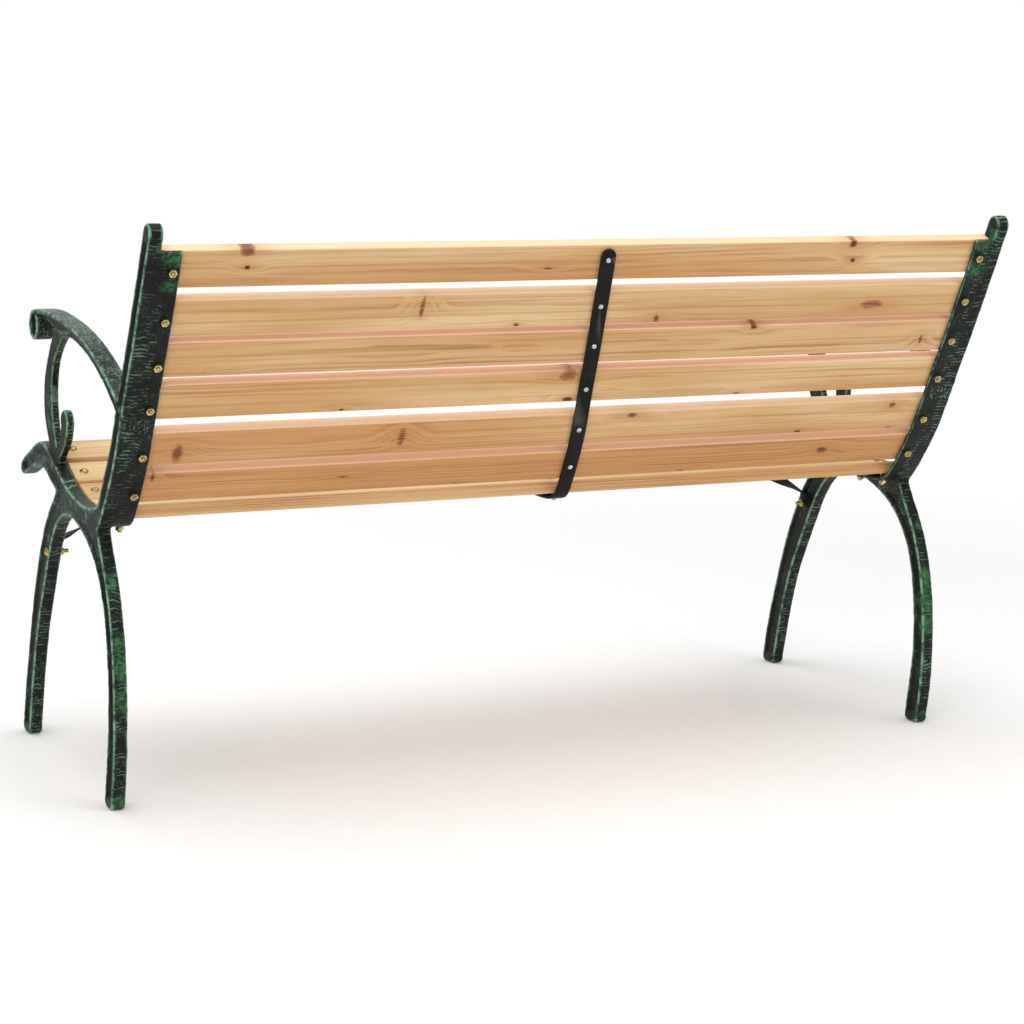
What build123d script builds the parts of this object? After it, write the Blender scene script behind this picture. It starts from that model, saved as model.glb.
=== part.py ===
from build123d import *
import os
from math import cos, hypot, pi, radians, sin, tan

# Garden bench: two cast end frames carry six back slats and five seat slats.
# Millimetres.  X runs along the bench (the sitter's left is +X), the sitter faces -Y,
# and Z is up from the ground.  The origin is below the middle of the bench, on the ground.

# ---- Driving dimensions ------------------------------------------------------------
LENGTH = 1280.0                 # over the two end frames
HALF = LENGTH / 2
BODY = 20.0                     # thickness of a casting along X
BODY_IN = HALF - BODY           # inner side of the left casting's body
LEDGE_IN = HALF - 48.0          # inner edge of the ledge that carries the slats
LEDGE = 6.0                     # thickness of the ledge
BOLT_X = HALF - 37.0            # X of the rows of slat bolts
POST_DEPTH = 26.0               # depth of the back post, front to back
RIM = 6.0                       # width of the raised rims of the casting
POCKET = 4.5                    # depth of the recesses between the rims
ARM_WIDE = 28.0                 # width of the arm's top along X
ARM_TOP_THICK = 7.0
ARM_WEB = 14.0                  # thickness of the arm's web between its rims and the far side
ARM_WEB_POCKET = 3.0            # depth of the recess on each side of the web
SCROLL_DISH = 8.0               # depth of the dish in each side of the arm's scroll
SUPPORT_THICK = 12.0            # thickness of the arm's front support and curl

SLAT_THICK = 18.0
SLAT_WIDTH = 54.0
SLAT_EDGE = 2.5                 # rounding along the slats' long edges
SLAT_HALF = BODY_IN - 1.0       # half the length of a slat
SLAT_PLAY = 0.2                 # least clearance between a slat and the ledge
BACK_SLATS = 6
SEAT_SLATS = 5
SEAT_PITCH = 61.0

SHANK = 6.0                     # bolt shank diameter
HOLE = 7.0                      # clearance hole for it
HEAD = 13.0                     # domed bolt head diameter
HEAD_HIGH = 3.6
NUT_FLATS = 10.0
NUT_HIGH = 5.0
NUT_PLAY = 0.05                 # clearance between a bolt and the bore of its nut
BOLT_SPARE = 2.5                # how far a bolt stands out past its nut

STRAP_WIDE = 21.0
STRAP_OUTER = 2.0               # the strap's outer face, measured in from the ledge's outer face
STRAP_THICK = 3.5
STRAP_TILT = 5.0                # degrees that the strap leans across the slats
STRAP_X = -3.0                  # X of the strap's upper end
STRAP_HOLE = 5.0
STRAP_ABOVE = 21.0              # from the strap's upper end to the middle of the top slat
STRAP_BEYOND = 14.0             # from the middle of the front seat slat to the strap's lower end
STRAP_SECTIONS = 30
SCREW = 4.0
SCREW_HEAD = 8.0
SCREW_HEAD_HIGH = 2.6
SCREW_BITE = 12.0               # how deep a screw goes into a slat
CROSS_LONG = 4.6                # cross recess of a screw
CROSS_WIDE = 1.1
CROSS_DEEP = 0.6
PAST = 20.0                     # how far cutters run past what they cut

BRACE_WIDE = 18.0
BRACE_THICK = 3.0
BRACE_RUN = 240.0               # how far a brace reaches inwards from the leg
BRACE_BOLT = (-181, 285)
BRACE_TURN = 75.0               # degrees of twist at the middle of a brace
BRACE_TWIST_STEPS = 8
LEG_TAB_HIGH = 26.0             # the brace's flat end on the leg
LEG_TAB_RISE = 4.0              # from its bolt up to the middle of that end
SEAT_TAB_LONG = 32.0            # the brace's flat end below the seat
BRACE_BEND = 16.0               # length of the bend between a flat end and the twisted bar

# ---- Side view of an end frame, as (Y, Z) -------------------------------------------
BACK_EDGE = [(84, 361), (122, 405), (164, 468), (197, 534), (228, 593), (258, 654), (288, 716),
             (309, 761)]
SEAT_TOP = [(86, 397), (60, 388), (28, 384), (-13, 386), (-53, 393), (-94, 406), (-128, 420),
            (-160, 434), (-192, 441)]
CREST_TO_TIP = [(-192, 441), (-218, 437), (-252, 423), (-287, 408), (-307, 396)]
TIP = [(-307, 396), (-308, 385), (-298, 379)]
SCROLL_UNDER = [(-298, 379), (-272, 386), (-240, 398), (-206, 405), (-176, 402), (-146, 391),
                (-118, 383)]
FRONT_LEG_FRONT = [(-118, 383), (-148, 357), (-176, 328), (-203, 287), (-236, 218), (-262, 145),
                   (-284, 73), (-297, 12)]
FRONT_FOOT = [(-297, 12), (-296, 3), (-290, 0), (-270, 0), (-264, 3), (-262, 12)]
ARCH = [(-262, 12), (-250, 62), (-233, 124), (-211, 182), (-185, 232), (-155, 288), (-122, 330),
        (-86, 351), (-42, 357), (10, 346), (52, 328), (86, 300), (112, 262), (127, 214),
        (135, 155), (134, 97), (127, 50), (121, 12)]
REAR_FOOT = [(121, 12), (122, 3), (128, 0), (146, 0), (152, 3), (153, 12)]
REAR_LEG_BACK = [(153, 12), (159, 45), (163, 90), (163, 131), (160, 178), (152, 224), (138, 268),
                 (118, 308), (98, 338), (84, 361)]
LEDGE_OUTER = [(300, 744), (288, 716), (258, 654), (228, 593), (197, 534), (164, 468), (122, 405),
               (99, 377), (84, 366), (58, 361), (29, 359), (-16, 361), (-59, 369), (-102, 383),
               (-137, 397), (-168, 410), (-204, 417)]
ARM_TOP = [(-240, 625), (-206, 628), (-170, 629), (-128, 627), (-74, 622), (-20, 614), (32, 602),
           (80, 587), (128, 568), (168, 547), (196, 528)]
ARM_UNDER = [(186, 508), (161, 526), (128, 546), (96, 562), (60, 577), (18, 590), (-20, 598),
             (-60, 602), (-84, 600), (-106, 597)]
SUPPORT_FRONT = [(-138, 606), (-155, 591), (-171, 569), (-187, 544), (-195, 515), (-193, 485), (-181, 459),
                 (-162, 437), (-140, 420)]
SUPPORT_REAR = [(-116, 420), (-134, 447), (-149, 475), (-156, 505), (-153, 541), (-140, 565),
                (-120, 583), (-96, 602)]
CURL = [(-132, 424), (-110, 443), (-96, 462), (-93, 482)]
CURL_WIDTHS = [16, 18, 26, 34]
ARM_SCROLL = (-240, 603)
ARM_SCROLL_RADIUS = 22.0
ARM_DISH_RADIUS = 16.0
LEG_POCKET_TOP = 340.0          # the inner recesses are only in the legs
FOOT_SOLID = 14.0               # the recesses stop this far above the ground

BACK_BOLTS = [(293, 716), (257, 654), (228, 593), (198, 534), (166, 469), (132, 410)]
SLAT_RISE = [0, 0, 5, 6.5, 5, 5.5]  # how far each back slat sits above its bolts
STRAP_SCREW_RISE = [5, 4, 3, -4, 2, 0]
SEAT_REAR = 17.0                # from the rail's rear end to the rear seat slat


# ---- Curves in the side view ---------------------------------------------------------
def unit(y, z):
    size = hypot(y, z)
    return y / size, z / size


def tangents(points):
    """Direction of travel at each point of a smooth run of points."""
    last = len(points) - 1
    result = []
    for i in range(len(points)):
        before = points[max(i - 1, 0)]
        after = points[min(i + 1, last)]
        result.append(unit(after[0] - before[0], after[1] - before[1]))
    return result


def shifted(points, distances):
    """The points moved to the left of their direction of travel."""
    result = []
    for (y, z), (ty, tz), distance in zip(points, tangents(points), distances):
        result.append((y - tz * distance, z + ty * distance))
    return result


def even(points, distance):
    return [distance] * len(points)


def ribbon(points, left, right, round_end=False):
    """Face between two curves that run beside a row of points."""
    one = shifted(points, left)
    other = shifted(points, right)
    edges = [Spline(*one), Spline(*other[::-1]), Line(one[0], other[0])]
    a = one[-1]
    b = other[-1]
    if round_end:
        way = tangents(points)[-1]
        reach = hypot(a[0] - b[0], a[1] - b[1]) / 2
        tip = ((a[0] + b[0]) / 2 + reach * way[0], (a[1] + b[1]) / 2 + reach * way[1])
        edges.append(ThreePointArc(a, tip, b))
    else:
        edges.append(Line(a, b))
    return make_face(edges)


def slab(face, x_low, x_high):
    """Extrude a side-view face between two X values."""
    return extrude(Plane.YZ.offset(x_low) * face, amount=x_high - x_low)


class Track:
    """A curve in the side view, measured by distance along it."""

    def __init__(self, points):
        self.edge = Spline(*points)
        self.length = self.edge.length

    def at(self, distance):
        """Point and direction of travel at a distance from the start."""
        share = min(max(distance / self.length, 0.0), 1.0)
        place = self.edge.position_at(share)
        way = self.edge.tangent_at(share)
        return (place.X, place.Y), unit(way.X, way.Y)

    def nearest(self, point):
        """Distance along the curve of its nearest place to a point."""
        steps = 600
        stations = [self.length * i / steps for i in range(steps + 1)]
        return min(stations, key=lambda d: hypot(self.at(d)[0][0] - point[0],
                                                 self.at(d)[0][1] - point[1]))


ledge_track = Track(LEDGE_OUTER)
seat_rear_station = ledge_track.nearest(SEAT_TOP[0])


# ---- Where the slats lie --------------------------------------------------------------
class SlatPlace:
    """A slat laid on the ledge, centred at a distance along the ledge's curve.

    out is the unit vector from the slat through the ledge, and along is the direction
    across the slat, from the back's top towards the seat's front.
    """

    def __init__(self, station):
        self.station = station
        first, _ = ledge_track.at(station - SLAT_WIDTH / 2)
        last, _ = ledge_track.at(station + SLAT_WIDTH / 2)
        self.along = unit(last[0] - first[0], last[1] - first[1])
        self.out = (-self.along[1], self.along[0])
        if self.out[0] * 0.5 - self.out[1] < 0:
            self.out = (self.along[1], -self.along[0])
        self.first = first
        # the ledge's outer face along out, where it is nearest to the sitter
        low = min(self.depth(station + SLAT_WIDTH * (i / 20 - 0.5)) for i in range(21))
        face = low - LEDGE - SLAT_PLAY
        middle = ((first[0] + last[0]) / 2, (first[1] + last[1]) / 2)
        self.under = (middle[0] + self.out[0] * face, middle[1] + self.out[1] * face)
        self.face = face

    def depth(self, station):
        """How far the ledge's outer face lies along out, from the chord."""
        (y, z), _ = ledge_track.at(station)
        return (y - self.first[0]) * self.out[0] + (z - self.first[1]) * self.out[1]

    def ledge_outer(self, slip, reach):
        """Distance from the slat's underside to the ledge's outer face near a bolt."""
        spots = [self.station + slip + reach * (i / 4 - 1) for i in range(9)]
        return max(self.depth(spot) for spot in spots) - self.face

    def plane(self, x, slip=0.0, depth=0.0):
        """Plane with z along out, x along the bench, origin on the slat's underside."""
        y = self.under[0] + self.along[0] * slip + self.out[0] * depth
        z = self.under[1] + self.along[1] * slip + self.out[1] * depth
        return Plane(origin=(x, y, z), x_dir=(1, 0, 0), z_dir=(0, self.out[0], self.out[1]))


back_stations = [ledge_track.nearest(point) for point in BACK_BOLTS]
back_places = [SlatPlace(s - rise) for s, rise in zip(back_stations, SLAT_RISE)]
seat_places = []
for i in range(SEAT_SLATS):
    pitches = SEAT_SLATS - 1 - i
    seat_places.append(SlatPlace(seat_rear_station + SEAT_REAR + SLAT_WIDTH / 2
                                 + SEAT_PITCH * pitches))


# ---- Solids that repeat ------------------------------------------------------------
def mirrored(shape):
    return mirror(shape, about=Plane.YZ)


def peg(plane, diameter, start, length):
    """Cylinder along a plane's normal, starting at a distance from it."""
    return extrude(plane.offset(start) * Circle(diameter / 2), amount=length)


def dome(plane, diameter, height):
    """Low domed head that stands on a plane, pointing along its normal."""
    sphere = (diameter ** 2 / 4 + height ** 2) / (2 * height)
    ball = Pos(0, 0, height - sphere) * Sphere(sphere)
    upper = Pos(0, 0, height / 2) * Box(diameter, diameter, height)
    return plane * (ball & upper)


def hex_nut(plane, start):
    """Nut round a bolt: its faces are square to the plane's normal."""
    body = extrude(plane.offset(start) * RegularPolygon(NUT_FLATS / 2, 6, major_radius=False),
                   amount=NUT_HIGH)
    return body - peg(plane, SHANK + 2 * NUT_PLAY, start - 1, NUT_HIGH + 2)


def flipped(plane):
    return Plane(origin=plane.origin, x_dir=plane.x_dir, z_dir=-plane.z_dir)


def slat_bolt(place, slip):
    """Domed bolt from the slat's outer face through slat and ledge, on the left side."""
    plane = place.plane(BOLT_X, slip)
    nut_at = place.ledge_outer(slip, NUT_FLATS / 2) + NUT_PLAY
    head = dome(flipped(plane.offset(-SLAT_THICK)), HEAD, HEAD_HIGH)
    shank = peg(plane, SHANK, -SLAT_THICK, SLAT_THICK + nut_at + NUT_HIGH + BOLT_SPARE)
    return head + shank


def slat_nut(place, slip):
    plane = place.plane(BOLT_X, slip)
    return hex_nut(plane, place.ledge_outer(slip, NUT_FLATS / 2) + NUT_PLAY)


def slat_hole(place, slip):
    return peg(place.plane(BOLT_X, slip), HOLE, -SLAT_THICK - 1, SLAT_THICK + PAST)


def pan_screw(plane, long):
    """Pan-head screw: head on the plane, shank against its normal, cross recess."""
    head = dome(plane, SCREW_HEAD, SCREW_HEAD_HIGH)
    slot = Box(CROSS_LONG, CROSS_WIDE, 2 * CROSS_DEEP)
    cross = Pos(0, 0, SCREW_HEAD_HIGH) * (slot + Rot(0, 0, 90) * slot)
    return head - plane * cross + peg(plane, SCREW, -long, long)


# ---- Castings -----------------------------------------------------------------------
def casting_outline():
    """Side view of post, seat rail, front scroll and both legs as one closed face."""
    post_front = shifted(BACK_EDGE[1:], even(BACK_EDGE[1:], POST_DEPTH))
    top_back = BACK_EDGE[-1]
    top_front = post_front[-1]
    way = tangents(BACK_EDGE)[-1]
    top = ((top_back[0] + top_front[0]) / 2 + way[0] * POST_DEPTH / 2,
           (top_back[1] + top_front[1]) / 2 + way[1] * POST_DEPTH / 2)
    edges = [
        Spline(*BACK_EDGE),
        ThreePointArc(top_back, top, top_front),
        Spline(*post_front[::-1], SEAT_TOP[0]),
        Spline(*SEAT_TOP),
        Spline(*CREST_TO_TIP),
        Spline(*TIP),
        Spline(*SCROLL_UNDER),
        Spline(*FRONT_LEG_FRONT),
        Spline(*FRONT_FOOT[:3]),
        Line(FRONT_FOOT[2], FRONT_FOOT[3]),
        Spline(*FRONT_FOOT[3:]),
        Spline(*ARCH),
        Spline(*REAR_FOOT[:3]),
        Line(REAR_FOOT[2], REAR_FOOT[3]),
        Spline(*REAR_FOOT[3:]),
        Spline(*REAR_LEG_BACK),
    ]
    return make_face(edges)


def rimmed(face, runs, width, blanks=()):
    """What is left of a face inside a rim that follows the given runs of points."""
    outside = -1 if width > 0 else 1
    for run in runs:
        face -= ribbon(run, even(run, outside), even(run, width))
        for y, z in (run[0], run[-1]):
            face -= Pos(y, z) * Circle(abs(width))
    for blank in blanks:
        face -= blank
    return face


def casting_recess():
    """The recessed part of the casting's side, inside its rims."""
    post_front = shifted(BACK_EDGE[1:], even(BACK_EDGE[1:], POST_DEPTH))[::-1] + SEAT_TOP[:1]
    runs = [BACK_EDGE, post_front, SEAT_TOP, CREST_TO_TIP, SCROLL_UNDER, FRONT_LEG_FRONT, ARCH,
            REAR_LEG_BACK]
    top = shifted(BACK_EDGE[-2:], even(BACK_EDGE[-2:], POST_DEPTH / 2))[-1]
    feet = Pos(0, FOOT_SOLID / 2) * Rectangle(LENGTH, FOOT_SOLID)
    tip = Pos(*TIP[1]) * Circle(3 * RIM)
    cap = Pos(*top) * Circle(POST_DEPTH / 2)
    return rimmed(casting_outline(), runs, RIM, (feet, tip, cap))


def end_frame():
    """The left casting: a recessed side plate, the slat ledge, and the scrolled arm."""
    outline = casting_outline()
    recess = casting_recess()
    frame = slab(outline, BODY_IN, HALF)
    frame -= slab(recess, HALF - POCKET, HALF + 1)
    legs_only = Pos(BODY_IN, 0, LEG_POCKET_TOP / 2) * Box(2 * POCKET, LENGTH, LEG_POCKET_TOP)
    frame -= slab(recess, BODY_IN - 1, BODY_IN + POCKET) & legs_only
    frame += slab(ribbon(LEDGE_OUTER, even(LEDGE_OUTER, 0), even(LEDGE_OUTER, -LEDGE)),
                  LEDGE_IN, BODY_IN + 2)
    frame += arm()
    for place, slip in slat_bolting():
        frame -= slat_hole(place, slip)
    frame -= Pos(HALF, *BRACE_BOLT) * Rot(0, 90, 0) * Cylinder(HOLE / 2, 3 * BODY)
    return frame


def arm():
    """Arm with a wide top, a thin web, a scrolled front end, its support and a curl."""
    middle = HALF - BODY / 2
    side = make_face([Spline(*ARM_TOP), Line(ARM_TOP[-1], ARM_UNDER[0]), Spline(*ARM_UNDER),
                      Line(ARM_UNDER[-1], ARM_TOP[0])])
    web = ARM_WEB / 2
    shape = slab(side, middle - web, middle + web)
    recess = rimmed(side, [ARM_TOP, ARM_UNDER], -RIM)
    shape -= slab(recess, middle + web - ARM_WEB_POCKET, middle + web + 1)
    shape -= slab(recess, middle - web - 1, middle - web + ARM_WEB_POCKET)
    shape += slab(ribbon(ARM_TOP, even(ARM_TOP, 0), even(ARM_TOP, -ARM_TOP_THICK)),
                  HALF - ARM_WIDE, HALF)
    scroll = Pos(HALF - ARM_WIDE / 2, *ARM_SCROLL) * Rot(0, 90, 0)
    shape += scroll * Cylinder(ARM_SCROLL_RADIUS, ARM_WIDE)
    for sign in (-1, 1):
        shape -= scroll * Pos(0, 0, sign * ARM_WIDE / 2) * Cylinder(ARM_DISH_RADIUS, 2 * SCROLL_DISH)
    support = make_face([Spline(*SUPPORT_FRONT), Line(SUPPORT_FRONT[-1], SUPPORT_REAR[0]),
                         Spline(*SUPPORT_REAR), Line(SUPPORT_REAR[-1], SUPPORT_FRONT[0])])
    low = middle - SUPPORT_THICK / 2
    high = middle + SUPPORT_THICK / 2
    shape += slab(support, low, high)
    halves = [width / 2 for width in CURL_WIDTHS]
    curl = ribbon(CURL, halves, [-half for half in halves], round_end=True)
    shape += slab(curl, low, high)
    slat_room = ribbon(BACK_EDGE, even(BACK_EDGE, 0), even(BACK_EDGE, POST_DEPTH + 1))
    return shape - slab(slat_room, HALF - ARM_WIDE - 1, BODY_IN)


def slat_bolting():
    """Each slat's place with the distance of its bolts from the slat's middle."""
    back = [(place, rise) for place, rise in zip(back_places, SLAT_RISE)]
    return back + [(place, 0.0) for place in seat_places]


# ---- Wood ----------------------------------------------------------------------------
def slat(place, slip, screw_slip):
    """One slat with its two bolt holes and the pilot hole of its strap screw."""
    plane = place.plane(0, 0, -SLAT_THICK / 2)
    body = Box(2 * SLAT_HALF, SLAT_WIDTH, SLAT_THICK)
    body = fillet(body.edges().filter_by(Axis.X), SLAT_EDGE)
    shape = plane * body
    hole = slat_hole(place, slip)
    shape -= hole
    shape -= mirrored(hole)
    strap_plane = place.plane(strap_x(place.station + screw_slip), screw_slip)
    shape -= peg(strap_plane, SCREW, -SCREW_BITE - 1, SCREW_BITE + 2)
    return shape


# ---- Centre strap ---------------------------------------------------------------------
STRAP_START = back_places[0].station - STRAP_ABOVE
STRAP_END = seat_places[0].station + STRAP_BEYOND


def strap_x(station):
    """The strap crosses the slats at a slight slant, so its X changes along it."""
    return STRAP_X - tan(radians(STRAP_TILT)) * (station - STRAP_START)


def strap_section(station):
    """Cross-section of the strap where it crosses a distance along the ledge's curve."""
    (y, z), (ty, tz) = ledge_track.at(station)
    inward = (tz, -ty)
    wide = STRAP_WIDE / 2 / cos(radians(STRAP_TILT))
    near = STRAP_OUTER
    far = STRAP_OUTER + STRAP_THICK
    x = strap_x(station)
    corners = [(x - wide, near), (x + wide, near), (x + wide, far), (x - wide, far)]
    points = [(cx, y + inward[0] * d, z + inward[1] * d) for cx, d in corners]
    return make_face(Polyline(*points, close=True))


def centre_strap():
    """Flat bar bent along the back and under the seat, with a rounded upper end."""
    step = (STRAP_END - STRAP_START) / STRAP_SECTIONS
    stations = [STRAP_START + step * i for i in range(STRAP_SECTIONS + 1)]
    bar = loft([strap_section(station) for station in stations])
    top = back_places[0].plane(strap_x(STRAP_START + STRAP_WIDE / 2),
                               STRAP_START + STRAP_WIDE / 2 - back_places[0].station)
    upper = -STRAP_WIDE / 2 if top.y_dir.Z < 0 else STRAP_WIDE / 2
    block = Box(2 * STRAP_WIDE, STRAP_WIDE, PAST)
    corner = (block - Cylinder(STRAP_WIDE / 2, 2 * PAST)) & Pos(0, upper, 0) * block
    bar -= top * corner
    for place, slip in strap_screwing():
        plane = place.plane(strap_x(place.station + slip), slip)
        bar -= peg(plane, STRAP_HOLE, -3, PAST)
    return bar


def strap_screwing():
    back = [(place, -rise) for place, rise in zip(back_places, STRAP_SCREW_RISE)]
    return back + [(place, 0.0) for place in seat_places]


def strap_screw(place, slip):
    """Screw from outside, its head on the strap's outer face."""
    plane = place.plane(strap_x(place.station + slip), slip)
    face = place.ledge_outer(slip, SCREW_HEAD / 2) - STRAP_OUTER + NUT_PLAY
    return pan_screw(plane.offset(face), SCREW_BITE + face)


# ---- Braces ---------------------------------------------------------------------------
def brace_section(centre, wide_way, thick_way):
    """Cross-section of a brace from its centre and two unit directions."""
    corners = [(-1, -1), (1, -1), (1, 1), (-1, 1)]
    points = []
    for a, b in corners:
        points.append(centre + wide_way * (a * BRACE_WIDE / 2) + thick_way * (b * BRACE_THICK / 2))
    return make_face(Polyline(*points, close=True))


def brace_top_plane():
    """Plane on the front seat slat's underside where the brace ends."""
    return seat_places[0].plane(BODY_IN - BRACE_RUN)


def brace():
    """Left brace: a tab on the leg, a bar twisted on edge, and a tab below the seat."""
    leg_y, leg_z = BRACE_BOLT
    tab = Pos(BODY_IN - BRACE_THICK / 2, leg_y, leg_z + LEG_TAB_RISE) * Box(
        BRACE_THICK, BRACE_WIDE, LEG_TAB_HIGH)
    tab = fillet(tab.edges().filter_by(Axis.X).group_by(Axis.Z)[0], BRACE_WIDE / 2 - 1)
    tab -= Pos(BODY_IN, leg_y, leg_z) * Rot(0, 90, 0) * Cylinder(HOLE / 2, 3 * BODY)

    plane = brace_top_plane().offset(NUT_PLAY + BRACE_THICK / 2)
    seat_tab = plane * Box(SEAT_TAB_LONG, BRACE_WIDE, BRACE_THICK)
    seat_tab -= peg(brace_top_plane(), STRAP_HOLE, -BRACE_THICK, PAST)

    leg_end = leg_z + LEG_TAB_RISE + LEG_TAB_HIGH / 2 - 1
    start = Vector(BODY_IN - BRACE_THICK / 2, leg_y, leg_end)
    end = plane.origin + Vector(SEAT_TAB_LONG / 2 - 1, 0, 0)
    way = (end - start).normalized()
    seat_wide = plane.y_dir if plane.y_dir.Y > 0 else -plane.y_dir
    sections = [brace_section(start, Vector(0, 1, 0), Vector(1, 0, 0))]
    length = (end - start).length
    for i in range(BRACE_TWIST_STEPS + 1):
        part = i / BRACE_TWIST_STEPS
        share = (BRACE_BEND + (length - 2 * BRACE_BEND) * part) / length
        turn = radians(BRACE_TURN * sin(pi * part))
        flat_wide = Vector(0, 1, 0) - way * way.Y
        flat_wide = flat_wide.normalized()
        up = way.cross(flat_wide)
        wide_way = flat_wide * cos(turn) - up * sin(turn)
        sections.append(brace_section(start + way * (length * share), wide_way,
                                      way.cross(wide_way)))
    sections.append(brace_section(end, seat_wide, Vector(1, 0, 0).cross(seat_wide)))
    return tab + seat_tab + loft(sections, ruled=True)


def brace_bolt():
    """Bolt through the front leg and the brace's tab, its head in the leg's recess."""
    axis = Plane(origin=(HALF - POCKET, *BRACE_BOLT), x_dir=(0, 1, 0), z_dir=(-1, 0, 0))
    through = BODY - POCKET + BRACE_THICK
    head = dome(flipped(axis), HEAD, HEAD_HIGH)
    return head + peg(axis, SHANK, 0, through + NUT_HIGH + 3 * BOLT_SPARE)


def brace_nut():
    axis = Plane(origin=(HALF - POCKET, *BRACE_BOLT), x_dir=(0, 1, 0), z_dir=(-1, 0, 0))
    return hex_nut(axis, BODY - POCKET + BRACE_THICK + NUT_PLAY)


def brace_screw():
    plane = brace_top_plane()
    return pan_screw(plane.offset(NUT_PLAY + BRACE_THICK), SCREW_BITE + BRACE_THICK)


# ---- Assembly ---------------------------------------------------------------------------
parts = {}


def keep(name, solids, colour):
    """Record one node: one solid, or several that are the same fastener."""
    shape = solids[0] if len(solids) == 1 else Compound(children=list(solids))
    shape.label = name
    shape.color = Color(*colour)
    parts[name] = shape


IRON = (0.10, 0.20, 0.13)
WOOD = (0.82, 0.64, 0.42)
STEEL = (0.05, 0.05, 0.05)
BRASS = (0.80, 0.66, 0.30)
ZINC = (0.75, 0.76, 0.78)

left_frame = end_frame()
keep("end_frame_left", [left_frame], IRON)
keep("end_frame_right", [mirrored(left_frame)], IRON)

for i in range(BACK_SLATS):
    piece = slat(back_places[i], SLAT_RISE[i], -STRAP_SCREW_RISE[i])
    keep(f"back_slat_{i + 1}", [piece], WOOD)
for i in range(SEAT_SLATS):
    piece = slat(seat_places[i], 0.0, 0.0)
    if i == 0:
        pilot = peg(brace_top_plane(), SCREW, -SCREW_BITE - 1, SCREW_BITE + 2)
        piece = piece - pilot - mirrored(pilot)
    keep(f"seat_slat_{i + 1}", [piece], WOOD)

keep("centre_strap", [centre_strap()], STEEL)
left_brace = brace()
keep("brace_left", [left_brace], STEEL)
keep("brace_right", [mirrored(left_brace)], STEEL)

bolting = slat_bolting()
groups = {"back": bolting[:BACK_SLATS], "seat": bolting[BACK_SLATS:]}
for row, members in groups.items():
    bolts = [slat_bolt(place, slip) for place, slip in members]
    nuts = [slat_nut(place, slip) for place, slip in members]
    keep(f"{row}_bolts_left", bolts, BRASS)
    keep(f"{row}_bolts_right", [mirrored(bolt) for bolt in bolts], BRASS)
    keep(f"{row}_nuts_left", nuts, BRASS)
    keep(f"{row}_nuts_right", [mirrored(nut) for nut in nuts], BRASS)

screws = [strap_screw(place, slip) for place, slip in strap_screwing()]
keep("strap_back_screws", screws[:BACK_SLATS], ZINC)
keep("strap_seat_screws", screws[BACK_SLATS:], ZINC)
keep("brace_bolts", [brace_bolt(), mirrored(brace_bolt())], BRASS)
keep("brace_nuts", [brace_nut(), mirrored(brace_nut())], BRASS)
keep("brace_screws", [brace_screw(), mirrored(brace_screw())], ZINC)

os.makedirs("parts", exist_ok=True)
for name, shape in parts.items():
    export_step(shape, f"parts/{name}.step")
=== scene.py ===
import bmesh
import bpy
import math
import numpy as np
from mathutils import Matrix, Vector, noise


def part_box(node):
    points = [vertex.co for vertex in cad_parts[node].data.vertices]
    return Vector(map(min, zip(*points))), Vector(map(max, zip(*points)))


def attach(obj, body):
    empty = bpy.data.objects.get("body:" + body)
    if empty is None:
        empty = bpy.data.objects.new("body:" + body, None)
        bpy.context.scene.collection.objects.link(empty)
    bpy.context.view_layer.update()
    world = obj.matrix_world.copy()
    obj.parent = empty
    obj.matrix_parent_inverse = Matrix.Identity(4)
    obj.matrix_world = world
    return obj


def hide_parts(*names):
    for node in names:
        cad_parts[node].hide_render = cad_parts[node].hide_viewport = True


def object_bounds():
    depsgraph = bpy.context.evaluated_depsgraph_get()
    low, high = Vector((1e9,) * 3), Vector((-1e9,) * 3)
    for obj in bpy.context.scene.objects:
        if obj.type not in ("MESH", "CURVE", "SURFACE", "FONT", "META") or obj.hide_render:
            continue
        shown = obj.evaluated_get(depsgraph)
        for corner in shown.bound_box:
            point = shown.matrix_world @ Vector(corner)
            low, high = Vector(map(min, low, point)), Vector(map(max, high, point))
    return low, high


# Garden bench: two cast end frames, softwood slats, a black strap and two braces.
# Metres.  +X is the sitter's left, the sitter faces -Y, Z is up.

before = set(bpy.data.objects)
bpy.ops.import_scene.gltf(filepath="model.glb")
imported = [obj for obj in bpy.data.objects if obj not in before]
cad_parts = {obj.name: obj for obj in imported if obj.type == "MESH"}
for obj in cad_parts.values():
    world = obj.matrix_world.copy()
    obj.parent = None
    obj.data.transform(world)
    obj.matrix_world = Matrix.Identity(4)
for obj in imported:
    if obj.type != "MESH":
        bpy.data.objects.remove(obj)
cad_box = [list(corner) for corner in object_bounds()]


# ---- Shader helpers ------------------------------------------------------------------
def srgb(red, green, blue):
    """Linear colour of an 8-bit screen colour."""
    result = []
    for value in (red, green, blue):
        v = value / 255
        result.append(v / 12.92 if v <= 0.04045 else ((v + 0.055) / 1.055) ** 2.4)
    return (*result, 1.0)


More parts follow.
